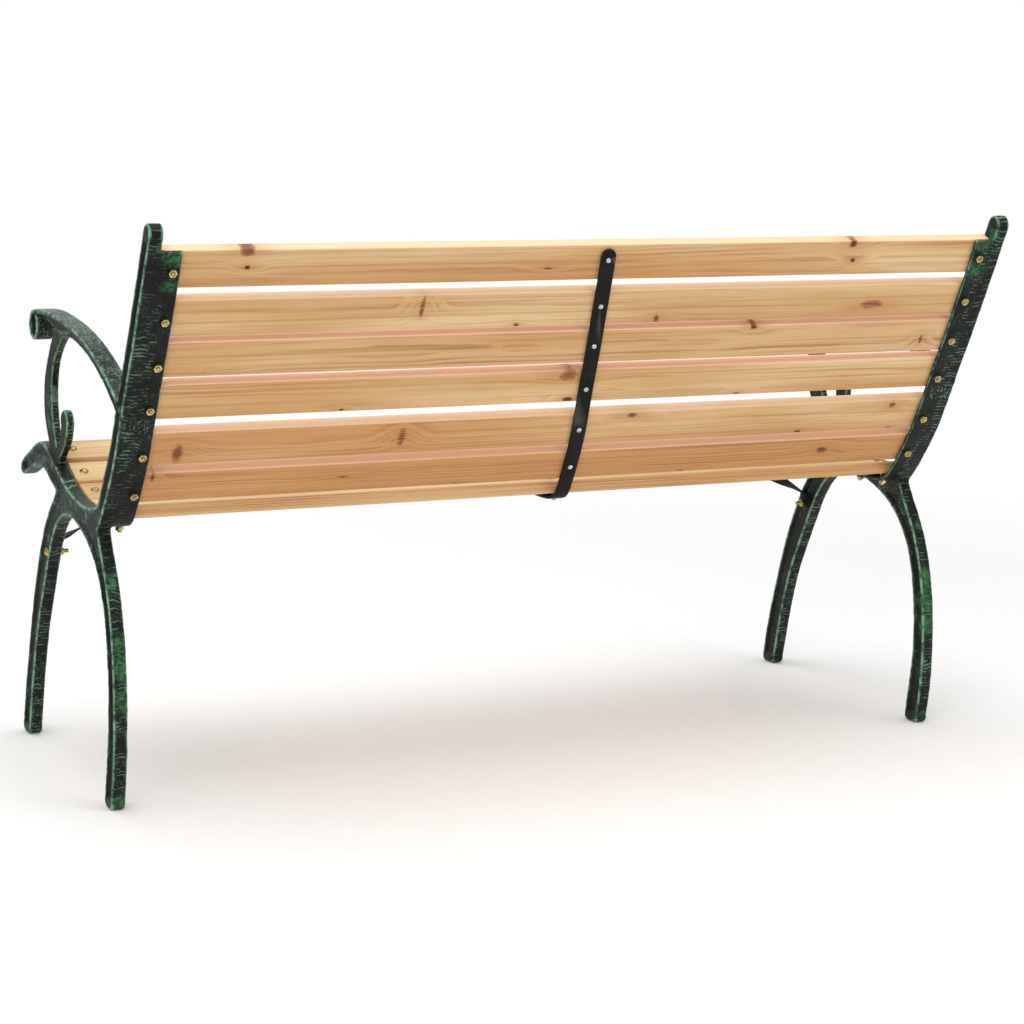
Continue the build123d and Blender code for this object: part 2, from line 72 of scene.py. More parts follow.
class Shader:
    """A material whose nodes are made by short calls."""

    def __init__(self, name):
        self.material = bpy.data.materials.new(name)
        self.material.use_nodes = True
        self.tree = self.material.node_tree
        self.tree.nodes.clear()

    def put(self, socket, value):
        if isinstance(value, bpy.types.NodeSocket):
            self.tree.links.new(value, socket)
        else:
            socket.default_value = value

    def node(self, kind, inputs, **settings):
        made = self.tree.nodes.new(kind)
        for key, value in settings.items():
            setattr(made, key, value)
        for key, value in inputs.items():
            self.put(made.inputs[key], value)
        return made

    def math(self, operation, a, b=0.0, clamp=False):
        made = self.node("ShaderNodeMath", {0: a, 1: b}, operation=operation,
                         use_clamp=clamp)
        return made.outputs[0]

    def add(self, a, b):
        return self.math("ADD", a, b)

    def times(self, a, b):
        return self.math("MULTIPLY", a, b)

    def step(self, value, low, high):
        """0 below low, 1 above high, smooth between them; low may be above high."""
        made = self.node("ShaderNodeMapRange", {0: value, 1: low, 2: high, 3: 0.0, 4: 1.0},
                         interpolation_type="SMOOTHSTEP")
        return made.outputs[0]

    def xyz(self, x, y, z):
        return self.node("ShaderNodeCombineXYZ", {0: x, 1: y, 2: z}).outputs[0]

    def apart(self, vector):
        return self.node("ShaderNodeSeparateXYZ", {0: vector}).outputs

    def object_point(self):
        return self.node("ShaderNodeTexCoord", {}).outputs["Object"]

    def stretched(self, vector, scale, shift=(0.0, 0.0, 0.0)):
        made = self.node("ShaderNodeMapping", {0: vector, 1: shift, 3: scale})
        return made.outputs[0]

    def noise(self, vector, scale=1.0, detail=2.0, rough=0.5, distortion=0.0):
        made = self.node("ShaderNodeTexNoise", {"Vector": vector, "Scale": scale,
                                                "Detail": detail, "Roughness": rough,
                                                "Distortion": distortion})
        return made.outputs[0]

    def cells(self, vector, scale):
        made = self.node("ShaderNodeTexVoronoi", {"Vector": vector, "Scale": scale})
        return made.outputs["Distance"]

    def mix(self, share, a, b):
        made = self.node("ShaderNodeMix", {}, data_type="RGBA")
        self.put(made.inputs[0], share)
        self.put(made.inputs[6], a)
        self.put(made.inputs[7], b)
        return made.outputs[2]

    def attribute(self, name):
        return self.node("ShaderNodeAttribute", {}, attribute_name=name).outputs["Fac"]

    def bump(self, height, distance, strength):
        """A normal for the finish: distance is the height of the relief in metres."""
        made = self.node("ShaderNodeBump", {"Height": height, "Distance": distance,
                                            "Strength": strength})
        return made.outputs[0]

    def surface(self, result):
        out = self.tree.nodes.new("ShaderNodeOutputMaterial")
        self.tree.links.new(result.outputs[0], out.inputs[0])
        return self.material

    def finish(self, colour, roughness, normal, metallic=0.0, specular=0.5):
        return self.surface(self.node("ShaderNodeBsdfPrincipled", {
            "Base Color": colour, "Roughness": roughness, "Metallic": metallic,
            "Specular IOR Level": specular, "Normal": normal}))


# ---- Wood ------------------------------------------------------------------------------
CREAM = srgb(227, 198, 150)
TAN = srgb(209, 170, 116)
ORANGE = srgb(198, 144, 88)
# painted highlight colours for the slats' top edge: pale light, and pink wood colour painted
# lighter as a highlight
TOP_EDGE_HIGHLIGHT = srgb(240, 206, 166)
PINK_AND_HIGHLIGHT = srgb(250, 202, 172)
GROWTH = srgb(156, 90, 48)
KNOT_RED = srgb(132, 62, 34)
KNOT_DARK = srgb(70, 34, 22)

RING_WIDTH = 0.0025              # mean distance between growth rings
PLANER_PITCH = 0.0021            # distance between the marks of the planer's knives
EDGE_LOW, EDGE_HIGH = 0.0245, 0.0263     # the top edge's rounding, across the slat


def wood(name, seed, pith, tone, pink_and_highlight, knots, top_highlight):
    """Flat-sawn fir.  pith is the ring centre across the slat, tone is how orange it is in
    the middle and how that changes along it, and each knot is (along, across, half length,
    half width, darkness) in millimetres."""
    s = Shader(name)
    point = s.object_point()
    x, u, w = s.apart(point)
    shift = (seed * 1.7, seed * 0.31, seed * 0.53)
    wander = s.noise(s.stretched(point, (1.6, 5.0, 5.0), shift), 1.0, 2.0, 0.45)
    wander = s.times(s.add(wander, -0.5), 0.020)
    small = s.noise(s.stretched(point, (9.0, 30.0, 30.0), shift), 1.0, 2.0, 0.5)
    small = s.times(s.add(small, -0.5), 0.0022)
    across = s.add(s.add(u, -pith[0]), s.add(wander, s.times(x, pith[2])))
    deep = s.add(w, -pith[1])
    radius = s.math("SQRT", s.add(s.times(across, across), s.times(deep, deep)))
    radius = s.add(radius, small)

    knot_core = 0.0
    knot_ring = 0.0
    halo = 0.0
    ragged = s.noise(s.stretched(point, (160.0, 260.0, 260.0), shift), 1.0, 2.0, 0.6)
    for along, height, long, wide, dark in knots:
        dx = s.times(s.add(x, -along / 1000), 1000 / long)
        du = s.times(s.add(u, -height / 1000), 1000 / wide)
        far = s.math("SQRT", s.add(s.times(dx, dx), s.times(du, du)))
        flow_x = s.times(dx, long / (3.0 * long + 14.0))
        flow_u = s.times(du, wide / (wide + 7.0))
        flow = s.add(s.times(flow_x, flow_x), s.times(flow_u, flow_u))
        lift = s.times(s.math("EXPONENT", s.times(flow, -1.0)), 0.0010 + 0.00042 * wide)
        radius = s.add(radius, lift)
        near = s.add(far, s.times(s.add(ragged, -0.5), 1.1))
        knot_core = s.math("MAXIMUM", knot_core, s.times(s.step(near, 0.95, 0.45), dark))
        knot_ring = s.math("MAXIMUM", knot_ring, s.step(near, 1.35, 0.85))
        halo = s.math("MAXIMUM", halo, s.times(s.math("EXPONENT", s.times(flow, -1.6)), 0.75))

    # growth rings: their width changes slowly, and each darkens towards its outer side
    uneven = s.noise(s.xyz(s.times(radius, 90.0), seed * 3.0, s.times(x, 0.4)), 1.0, 2.0, 0.6)
    phase = s.add(s.times(radius, 1 / RING_WIDTH), s.times(uneven, 3.2))
    saw = s.math("FRACT", phase)
    late = s.times(s.step(saw, 0.15, 0.90), s.step(saw, 1.0, 0.90))
    strength = s.noise(s.xyz(s.times(radius, 55.0), seed, s.times(x, 0.8)), 1.0, 3.0, 0.6)
    band = s.step(strength, 0.42, 0.66)
    fibre = s.noise(s.stretched(point, (14.0, 1100.0, 1100.0), shift), 1.0, 3.0, 0.6)
    pores = s.noise(s.stretched(point, (60.0, 2600.0, 2600.0), shift), 1.0, 1.0, 0.5)
    blotch = s.noise(s.stretched(point, (2.2, 14.0, 14.0), shift), 1.0, 3.0, 0.5)

    base = s.mix(s.step(blotch, 0.35, 0.68), CREAM, TAN)
    warm = s.add(s.add(tone[0], s.times(x, tone[1])), s.times(s.add(blotch, -0.5), 1.4))
    base = s.mix(s.math("ADD", warm, 0.0, clamp=True), base, ORANGE)
    base = s.mix(s.times(band, 0.55), base, ORANGE)
    faint = s.noise(s.stretched(point, (3.0, 160.0, 160.0), shift), 1.0, 2.0, 0.6)
    line = s.times(s.step(faint, 0.36, 0.66), s.add(0.26, s.times(band, 0.50)))
    base = s.mix(s.times(late, line), base, GROWTH)
    streak = s.noise(s.stretched(point, (2.0, 260.0, 260.0), shift), 1.0, 2.0, 0.55)
    base = s.mix(s.times(s.step(streak, 0.56, 0.72), 0.36), base, GROWTH)
    fall = s.times(s.step(u, -0.006, -0.026), s.step(blotch, 0.30, 0.60))
    base = s.mix(s.times(fall, 0.34), base, s.mix(0.3, ORANGE, GROWTH))
    base = s.mix(s.times(s.step(fibre, 0.50, 0.72), 0.14), base, GROWTH)
    base = s.mix(s.times(s.step(fibre, 0.46, 0.28), 0.22), base, CREAM)
    # faint marks of the planer's knives across the slat
    ripple = s.math("SINE", s.times(s.add(x, s.times(wander, 0.05)), 2 * math.pi / PLANER_PITCH))
    patchy = s.step(s.noise(s.stretched(point, (5.0, 25.0, 25.0), shift), 1.0, 2.0, 0.5),
                    0.44, 0.66)
    ripple = s.times(s.step(ripple, -0.6, 0.9), patchy)
    base = s.mix(s.times(ripple, 0.07), base, GROWTH)
    # painted highlight along the rounded top edge: pink wood colour painted lighter, then pale
    # light over it
    top = s.step(u, EDGE_LOW, EDGE_HIGH)
    base = s.mix(s.times(top, pink_and_highlight), base, PINK_AND_HIGHLIGHT)
    base = s.mix(s.times(top, top_highlight), base, TOP_EDGE_HIGHLIGHT)
    red = s.mix(0.5, ORANGE, GROWTH)
    base = s.mix(s.times(halo, 0.6), base, red)
    swirl = s.step(s.math("FRACT", s.times(radius, 900.0)), 0.3, 0.8)
    base = s.mix(s.times(knot_ring, 0.85), base, s.mix(swirl, KNOT_RED, red))
    base = s.mix(knot_core, base, KNOT_DARK)

    # handling marks and small pits, very faint
    marks = s.step(s.noise(s.stretched(point, (90.0, 160.0, 160.0), shift), 1.0, 2.0, 0.5),
                   0.70, 0.80)
    base = s.mix(s.times(marks, 0.20), base, GROWTH)

    height = s.add(s.times(late, 0.45), s.times(fibre, 0.5))
    height = s.add(height, s.add(s.times(pores, 0.25), s.times(ripple, 0.18)))
    height = s.add(height, s.times(knot_core, -0.8))
    normal = s.bump(height, 0.00022, 0.9)
    rough = s.add(0.44, s.add(s.times(late, 0.10), s.times(pores, 0.16)))
    return s.finish(base, rough, normal, specular=0.35)


def slat_frame(node):
    """Middle, up-slope direction, width, thickness and both ends of a CAD slat.  The
    direction is that of the smallest rectangle round its cross-section."""
    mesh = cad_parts[node].data
    points = np.array([v.co for v in mesh.vertices])[:, 1:]
    best = None
    steps_per_degree = 10
    for i in range(180 * steps_per_degree + 1):
        angle = math.radians(i * (1 / steps_per_degree))
        a = np.array([math.cos(angle), math.sin(angle)])
        b = np.array([-a[1], a[0]])
        pa = points @ a
        pb = points @ b
        area = np.ptp(pa) * np.ptp(pb)
        if best is None or area < best[0]:
            middle = a * (pa.max() + pa.min()) / 2 + b * (pb.max() + pb.min()) / 2
            best = (area, a, middle, np.ptp(pa), np.ptp(pb))
    _, a, middle, wide, thick = best
    if wide < thick:
        a = np.array([-a[1], a[0]])
        wide, thick = thick, wide
    if a[0] + 2 * a[1] < 0:
        a = -a
    low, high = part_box(node)
    return middle, a, wide, thick, low.x, high.x


ARC_STEPS = 5                    # of each corner of a slat's cross-section
WIDE_STEPS = 8                   # of each of its wide sides
THIN_STEPS = 4                   # of each of its thin sides
EASE = 0.0026                    # radius of a slat's long edges
STATIONS = 200                   # cross-sections along a slat
WAVE_DEEP = 0.00016              # half the depth of the planer's slow waves
TEAR_FROM = 0.35                 # noise above which the grain is torn out
TEAR_DEEP = 0.00030
KNOT_DEEP = 0.00030              # how far the darkest knots are sunk


def rounded_section(wide, thick, radius):
    """Points round a slat's cross-section, with more of them at its corners."""
    points = []
    corners = [(1, 1, 0), (-1, 1, 90), (-1, -1, 180), (1, -1, 270)]
    for k, (su, sw, start) in enumerate(corners):
        cu = su * (wide / 2 - radius)
        cw = sw * (thick / 2 - radius)
        for i in range(ARC_STEPS + 1):
            angle = math.radians(start + 90 / ARC_STEPS * i)
            points.append((cu + radius * math.cos(angle), cw + radius * math.sin(angle)))
        nu, nw, _ = corners[(k + 1) % len(corners)]
        ahead = (nu * (wide / 2 - radius), nw * (thick / 2 - radius))
        turn = math.radians(start + 90)
        begin = points[-1]
        end = (ahead[0] + radius * math.cos(turn), ahead[1] + radius * math.sin(turn))
        count = WIDE_STEPS if k in (0, 2) else THIN_STEPS
        for i in range(1, count):
            part = i / count
            points.append((begin[0] + (end[0] - begin[0]) * part,
                           begin[1] + (end[1] - begin[1]) * part))
    return points


def make_slat(node, index, knots):
    """A planed slat: eased edges, faint waves from the planer, sunken knots, crisp ends."""
    middle, up, wide, thick, low, high = slat_frame(node)
    section = rounded_section(wide, thick, EASE)
    long = high - low
    # the ends are chamfered: (distance from the end, inset of the section)
    ends = [(0.0, 0.0011), (0.0004, 0.0004), (0.0011, 0.0)]
    stations = list(ends)
    for k in range(1, STATIONS):
        stations.append((long * k / STATIONS, 0.0))
    stations += [(long - s, i) for s, i in ends[::-1]]
    mesh = bmesh.new()
    rings = []
    for along, inset in stations:
        x = along - long / 2
        ring = []
        for u, w in section:
            u *= 1 - 2 * inset / wide
            w *= 1 - 2 * inset / thick
            spot = Vector((x * 6, u * 40, w * 40 + index * 7.7))
            dip = WAVE_DEEP * (1 + noise.noise(spot))
            tear = noise.noise(Vector((x * 60, u * 90, w * 90 + index * 3.1)))
            if tear > TEAR_FROM:
                dip += TEAR_DEEP * (tear - TEAR_FROM)
            for along_mm, height, length, width, dark in knots:
                du = (u * 1000 - height) / (width + 2)
                dx = (x * 1000 - along_mm) / (length + 2)
                dip += KNOT_DEEP * dark * math.exp(-du * du - dx * dx)
            if abs(u) > wide / 2 - EASE:
                u -= math.copysign(min(dip, abs(u) * 0.1), u)
            if abs(w) > thick / 2 - EASE:
                w -= math.copysign(min(dip, abs(w) * 0.5), w)
            ring.append(mesh.verts.new((x, u, w)))
        rings.append(ring)
    count = len(section)
    for a, b in zip(rings, rings[1:]):
        for i in range(count):
            j = (i + 1) % count
            mesh.faces.new((a[i], b[i], b[j], a[j]))
    for ring, sign in ((rings[0], -1), (rings[-1], 1)):
        inner = []
        for vertex in ring:
            x, u, w = vertex.co
            inner.append(mesh.verts.new((x + sign * 0.00005, u * 0.96, w * 0.88)))
        for i in range(count):
            j = (i + 1) % count
            mesh.faces.new((ring[i], ring[j], inner[j], inner[i]))
        mesh.faces.new(inner)
    bmesh.ops.recalc_face_normals(mesh, faces=mesh.faces)
    data = bpy.data.meshes.new("wood_" + node)
    mesh.to_mesh(data)
    mesh.free()
    data.shade_smooth()
    piece = bpy.data.objects.new("wood_" + node, data)
    bpy.context.scene.collection.objects.link(piece)
    across = Vector((0, up[0], up[1]))
    along = Vector((1, 0, 0))
    through = along.cross(across)
    turn = Matrix((along, across, through)).transposed().to_4x4()
    piece.matrix_world = Matrix.Translation(((low + high) / 2, middle[0], middle[1])) @ turn
    return piece


# (along, across, half length, half width, darkness), millimetres from the slat's middle
BACK_KNOTS = [
    [(505, 25, 9, 7, 0.5), (503, 1, 4, 3.5, 1.0), (-389, 22, 6, 6, 0.9), (-395, -4, 4, 3.5, 0.9),
     (80, -8, 7, 1.2, 0.9)],
    [(251, 8, 3, 15, 0.35), (108, -24, 4, 3, 0.9), (-104, -20, 4, 6, 0.6), (-450, -6, 16, 6, 0.3)],
    [(-265, 24, 5, 4, 0.8), (-555, -6, 3, 7, 0.5)],
    [(8, 18, 12, 8, 0.35), (0, -22, 7, 4, 0.9), (335, -24, 3, 2.5, 0.9), (-270, -25, 6, 2.5, 0.9)],
    [(553, -8, 7, 13, 0.6), (238, 1, 5, 13, 0.45), (-109, 20, 7, 3.5, 0.5), (-546, 17, 5, 5, 0.4),
     (-554, -25, 5, 2, 0.8), (-395, -24, 6, 3, 0.9)],
    [(580, 19, 3, 7, 0.7), (-452, 3, 9, 6, 0.7), (309, 1, 8, 1.5, 0.5), (-222, -25, 5, 3, 0.5),
     (135, -25, 5, 2, 0.4)],
]
# for each back slat: its ring centre, how orange it is, how strongly its top edge gets pink wood
# colour painted lighter as a highlight, and how strongly a pale painted highlight lies on its top
# edge
BACK_PITH = [(-0.010, 0.052, 0.006), (0.016, 0.075, -0.010), (0.004, 0.060, 0.004),
             (-0.018, 0.068, -0.006), (0.020, 0.056, 0.008), (0.026, 0.048, -0.004)]
BACK_TONE = [(0.14, 0.0), (-0.16, -0.1), (-0.10, 0.1), (0.0, 0.2), (0.62, 0.6), (1.0, 0.0)]
BACK_PINK_AND_HIGHLIGHT = [0.0, 0.1, 0.85, 0.80, 0.15, 0.60]
BACK_TOP_HIGHLIGHT = [0.85, 0.95, 0.0, 0.0, 0.85, 0.3]
SEAT_KNOTS = [
    [(420, 4, 6, 5, 0.7), (-150, -10, 8, 4, 0.5)],
    [(520, 8, 7, 6, 0.5), (60, 12, 5, 4, 0.8), (-430, -8, 6, 5, 0.6)],
    [(300, -12, 5, 4, 0.8), (-300, 6, 10, 6, 0.4)],
    [(530, 2, 6, 5, 0.45), (-60, 10, 5, 3, 0.8), (-520, -4, 7, 6, 0.5)],
    [(560, -6, 5, 5, 0.45), (180, 10, 4, 4, 0.8), (-240, -12, 9, 5, 0.5)],
]
SEAT_PITH = [(0.012, 0.062, 0.004), (-0.020, 0.055, -0.006), (0.006, 0.070, 0.006),
             (-0.008, 0.050, -0.004), (0.018, 0.058, 0.005)]


# ---- Castings -----------------------------------------------------------------------------
def joined_copy(node, name):
    """A welded copy of a CAD node's mesh as a new object."""
    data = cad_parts[node].data.copy()
    data.name = name
    mesh = bmesh.new()
    mesh.from_mesh(data)
    bmesh.ops.remove_doubles(mesh, verts=mesh.verts, dist=1e-5)
    mesh.to_mesh(data)
    mesh.free()
    data.materials.clear()
    piece = bpy.data.objects.new(name, data)
    bpy.context.scene.collection.objects.link(piece)
    return piece


def applied(piece):
    """Replace an object's mesh by what its modifiers make of it."""
    graph = bpy.context.evaluated_depsgraph_get()
    made = bpy.data.meshes.new_from_object(piece.evaluated_get(graph))
    piece.modifiers.clear()
    piece.data = made


def spread(values, edges, count, degree):
    """Each point's neighbours' mean."""
    total = np.zeros((count, values.shape[1]))
    np.add.at(total, edges[:, 0], values[edges[:, 1]])
    np.add.at(total, edges[:, 1], values[edges[:, 0]])
    return total / degree[:, None]


def normals_of(mesh, count):
    """The mesh's vertex normals as rows."""
    result = np.zeros(count * 3)
    mesh.vertices.foreach_get("normal", result)
    return result.reshape(-1, 3)


def store(mesh, name, values):
    """Keep a share from 0 to 1 for each vertex, for the paint to read."""
    layer = mesh.attributes.new(name, "FLOAT", "POINT")
    layer.data.foreach_set("value", np.clip(values, 0, 1).astype(np.float32))


# places where the green paint was laid on thickly: (x, y, z, radius) on the left frame
GREEN = [
    (0.605, 0.300, 0.735, 0.016), (0.604, 0.285, 0.700, 0.014), (0.622, 0.300, 0.752, 0.010),
    (0.628, 0.158, 0.225, 0.020), (0.624, 0.160, 0.190, 0.022), (0.624, 0.163, 0.150, 0.020),
    (0.630, 0.146, 0.010, 0.014), (0.640, -0.275, 0.030, 0.012), (0.634, 0.125, 0.300, 0.014),
    (0.640, -0.170, 0.500, 0.012), (0.640, -0.165, 0.470, 0.012), (0.640, -0.210, 0.280, 0.012),
]

VOXEL = 0.0021                   # grid of the castings' meshes
RELAX = (0.55, -0.50, 0.55, -0.50, 0.55, -0.45, 0.45, 0.25)     # smoothing without shrinking
EDGE_BULGE = 0.00034             # how far an edge stands out past its smoothed self
HOLLOW_BULGE = 0.00012           # how far a hollow lies in behind it, and over what range
HOLLOW_RANGE = 0.0004
SHRINK = 0.00010                 # sinks the rough surface to keep it within the CAD model
LEDGE_IN = 0.6195                # the slats' ledge lies nearer than this to the bench's middle


def make_casting(node, side):
    """The casting with its edges rounded off as sand casting leaves them, and uneven."""
    piece = joined_copy(node, "cast_" + node)
    remesh = piece.modifiers.new("remesh", "REMESH")
    remesh.mode = "VOXEL"
    remesh.voxel_size = VOXEL
    applied(piece)
    mesh = piece.data
    count = len(mesh.vertices)
    points = np.zeros(count * 3)
    mesh.vertices.foreach_get("co", points)
    points = points.reshape(-1, 3)
    edges = np.zeros(len(mesh.edges) * 2, int)
    mesh.edges.foreach_get("vertices", edges)
    edges = edges.reshape(-1, 2)
    degree = np.bincount(edges.ravel(), minlength=count).astype(float)
    lowest = points[:, 2].min()
    for weight in RELAX:
        points = points + weight * (spread(points, edges, count, degree) - points)
    smooth = points
    for _ in range(4):
        smooth = smooth + 0.6 * (spread(smooth, edges, count, degree) - smooth)
    mesh.vertices.foreach_set("co", points.ravel())
    mesh.update()
    normals = normals_of(mesh, count)
    bulge = np.sum((points - smooth) * normals, axis=1)
    store(mesh, "edge", (bulge - EDGE_BULGE) / EDGE_BULGE)
    store(mesh, "hollow", (-bulge - HOLLOW_BULGE) / HOLLOW_RANGE)

    rough = np.zeros(count)
    for i, p in enumerate(points):
        spot = Vector((p[0] * side, p[1], p[2]))
        rough[i] = (0.00035 * noise.noise(spot * 55) + 0.00022 * noise.noise(spot * 140)
                    + 0.00014 * noise.noise(spot * 300))
    keep_flat = np.clip((points[:, 2] - lowest - 0.004) / 0.01, 0, 1)
    ledge = np.abs(points[:, 0]) < LEDGE_IN
    rough = np.where(ledge, np.minimum(rough, 0) * 0.5, rough)
    points = points + normals * (rough * keep_flat - SHRINK)[:, None]
    points[:, 0] = np.clip(points[:, 0], cad_box[0][0], cad_box[1][0])
    points[:, 2] = np.maximum(points[:, 2], 0.0)
    mesh.vertices.foreach_set("co", points.ravel())
    mesh.update()

    green = np.zeros(count)
    for x, y, z, reach in GREEN:
        far = np.linalg.norm(points - np.array([side * x, y, z]), axis=1)
        green = np.maximum(green, 1 - far / (1.5 * reach))
    store(mesh, "green", green)
    broad = 1 - np.abs(normals[:, 0])
    store(mesh, "broad", (broad - 0.45) / 0.35)
    # distance along the member: up the posts and legs, and front to back on the arm
    arm = (points[:, 2] > 0.50) & (points[:, 1] < 0.19) & (np.abs(points[:, 0]) > 0.6)
    run = np.where(arm, points[:, 1] * 1.15, points[:, 2] * 1.08)
    layer = mesh.attributes.new("run", "FLOAT", "POINT")
    layer.data.foreach_set("value", run.astype(np.float32))
    # how much paint the brushing left: most on the arm, the crossing of the legs and the crest;
    # the arm's upward faces get full strength as a painted sheen
    x, y, z = np.abs(points[:, 0]), points[:, 1], points[:, 2]
    flat = np.clip((np.abs(normals[:, 0]) - 0.5) / 0.3, 0, 1)
    brush_and_sheen = 0.30 + 0.60 * arm + 0.60 * flat * (z > 0.30) * (z < 0.45)
    brush_and_sheen = np.maximum(brush_and_sheen, 0.45 * (x > 0.612) * (z < 0.33))
    brush_and_sheen = np.where((x < 0.612) & (z < 0.42), 0.10, brush_and_sheen)
    brush_and_sheen = np.where((flat > 0.5) & (z > 0.42) & (y < 0.2), 0.12, brush_and_sheen)
    # painted sheen: the arm's upward faces get the full lighter brushed green
    brush_and_sheen = np.where(arm & (normals[:, 2] > 0.15), 1.0, brush_and_sheen)
    store(mesh, "brush_and_sheen", brush_and_sheen)
    mesh.shade_smooth()
    return piece


RIDGE_PITCH = 0.0052             # mean distance between the cast ridges across the members


def cast_paint():
    """Dark green-black enamel with lighter green brushed over the high places, a painted sheen of
    that green on the arm's upward faces, and painted shade darkening the hollows.
    """
    s = Shader("brushed_green_iron")
    point = s.object_point()
    x = s.apart(point)[0]
    edge = s.attribute("edge")
    hollow = s.attribute("hollow")
    green = s.attribute("green")
    broad = s.attribute("broad")
    run = s.attribute("run")

    # brushed paint, plus a painted sheen on the arm's upward faces
    brush_and_sheen = s.attribute("brush_and_sheen")
    grit = s.noise(point, 420.0, 3.0, 0.6)
    lumps = s.noise(point, 150.0, 2.0, 0.55, 0.6)
    drift = s.noise(point, 34.0, 3.0, 0.6)
    large = s.noise(point, 9.0, 2.0, 0.5)

    # short wavy ridges across the broad faces, in a column outside the row of nuts
    bend = s.times(s.add(s.noise(s.stretched(point, (60.0, 25.0, 25.0)), 1.0, 2.0, 0.6), -0.5),
                   0.012)
    lane = s.times(s.add(run, bend), 1 / RIDGE_PITCH)
    wave = s.math("SINE", s.times(lane, 2 * math.pi))
    crest = s.step(wave, 0.10, 0.95)
    size = s.math("ABSOLUTE", x)
    column = s.times(s.step(size, 0.606, 0.613), broad)
    which = s.xyz(s.times(x, 42.0), s.math("FLOOR", lane), 0.0)
    breaks = s.step(s.noise(which, 1.0, 2.0, 0.5), 0.44, 0.60)
    ladder = s.times(s.times(crest, breaks), column)
    pebble = s.step(s.cells(s.stretched(point, (1.0, 1.0, 0.8)), 330.0), 0.55, 0.10)
    pebble = s.times(pebble, s.step(drift, 0.40, 0.62))
    relief = s.add(s.times(ladder, 0.75), s.times(pebble, 0.35))
    relief = s.add(relief, s.add(s.times(grit, 0.25), s.times(lumps, 0.55)))

    streak = s.step(s.noise(s.stretched(point, (380.0, 70.0, 70.0)), 1.0, 3.0, 0.65), 0.50, 0.68)
    speck = s.step(grit, 0.52, 0.66)
    level = s.step(s.add(large, s.times(drift, 0.6)), 0.55, 1.0)
    swept = s.add(s.times(streak, 0.45), s.times(speck, 0.55))
    swept = s.times(swept, s.times(brush_and_sheen, s.add(0.35, level)))
    brushed = s.add(s.times(ladder, s.add(0.25, s.times(level, 0.45))), s.times(pebble, 0.22))
    brushed = s.math("MINIMUM", s.add(brushed, swept), 1.0)
    brushed = s.times(brushed, s.add(1.0, s.times(hollow, -0.9)))
    brushed = s.step(brushed, 0.05, 0.72)
    worn = s.step(s.noise(point, 75.0, 3.0, 0.65), 0.36, 0.60)
    rim = s.times(edge, s.add(0.16, s.times(worn, 0.84)))
    patch = s.step(s.add(green, s.times(s.add(drift, -0.5), 1.2)), 0.25, 0.75)
    patchy = s.step(s.add(lumps, s.times(grit, 0.5)), 0.50, 0.84)
    patch = s.times(patch, s.add(0.45, s.times(patchy, 0.55)))

    colour = s.mix(s.step(drift, 0.35, 0.7), srgb(9, 11, 10), srgb(19, 24, 20))
    colour = s.mix(s.times(s.step(large, 0.45, 0.70), 0.22), colour, srgb(24, 50, 34))
    colour = s.mix(s.times(brushed, 0.66), colour, srgb(118, 150, 128))
    colour = s.mix(s.times(patch, 0.85), colour,
                   s.mix(s.step(lumps, 0.35, 0.70), srgb(30, 72, 44), srgb(64, 120, 76)))
    colour = s.mix(s.times(rim, 0.90), colour, srgb(152, 202, 168))
    # painted shade: the hollows are darkened towards black
    colour = s.mix(s.times(hollow, 0.55), colour, srgb(10, 13, 11))
    normal = s.bump(relief, 0.0013, 0.85)
    rough = s.add(0.38, s.add(s.times(grit, 0.22), s.times(s.math("MAXIMUM", rim, patch), 0.10)))
    return s.finish(colour, rough, normal, specular=0.18)


# ---- Steel, brass and zinc --------------------------------------------------------------------
def black_steel():
    """Powder-coated flat bar: fine orange-peel, a little dust, grey where the edges rub."""
    s = Shader("black_flat_steel")
    point = s.object_point()
    peel = s.noise(point, 900.0, 2.0, 0.5)
    drift = s.noise(point, 40.0, 3.0, 0.6)
    scratch = s.step(s.noise(s.stretched(point, (900.0, 60.0, 60.0)), 1.0, 2.0, 0.5), 0.66, 0.74)
    colour = s.mix(s.step(drift, 0.35, 0.75), srgb(13, 12, 10), srgb(23, 21, 18))
    colour = s.mix(s.times(scratch, 0.25), colour, srgb(110, 106, 98))
    edge = s.node("ShaderNodeNewGeometry", {}).outputs["Pointiness"]
    colour = s.mix(s.times(s.step(edge, 0.53, 0.60), 0.25), colour, srgb(120, 116, 108))
    rough = s.add(0.56, s.times(peel, 0.22))
    return s.finish(colour, rough, s.bump(peel, 0.00012, 0.7), specular=0.18)


def plated(name, light, dark, rough_low):
    """Plated fastener: a fine bump, patchy tarnish and small dark spots."""
    s = Shader(name)
    point = s.object_point()
    fine = s.noise(point, 1500.0, 2.0, 0.5)
    stain = s.noise(point, 260.0, 3.0, 0.6)
    spots = s.step(s.noise(point, 700.0, 2.0, 0.6), 0.62, 0.72)
    colour = s.mix(s.step(stain, 0.35, 0.68), light, dark)
    colour = s.mix(s.times(spots, 0.45), colour, srgb(70, 50, 26))
    rough = s.add(rough_low, s.add(s.times(stain, 0.22), s.times(spots, 0.25)))
    return s.finish(colour, rough, s.bump(fine, 0.00006, 0.5), metallic=1.0)


def refined(node, name, slot, material, width):
    """A copy of a CAD node with its edges broken, riding on the body in its place."""
    piece = joined_copy(node, name)
    mesh = bmesh.new()
    mesh.from_mesh(piece.data)
    bmesh.ops.dissolve_limit(mesh, angle_limit=math.radians(1.0), verts=mesh.verts,
                             edges=mesh.edges)
    mesh.to_mesh(piece.data)
    mesh.free()
    bevel = piece.modifiers.new("edges", "BEVEL")
    bevel.width = width
    bevel.segments = 2
    bevel.limit_method = "ANGLE"
    bevel.angle_limit = math.radians(32)
    applied(piece)
    piece.data.shade_smooth()
    piece.data.set_sharp_from_angle(angle=math.radians(40))
    settle(piece, slot, material, node)


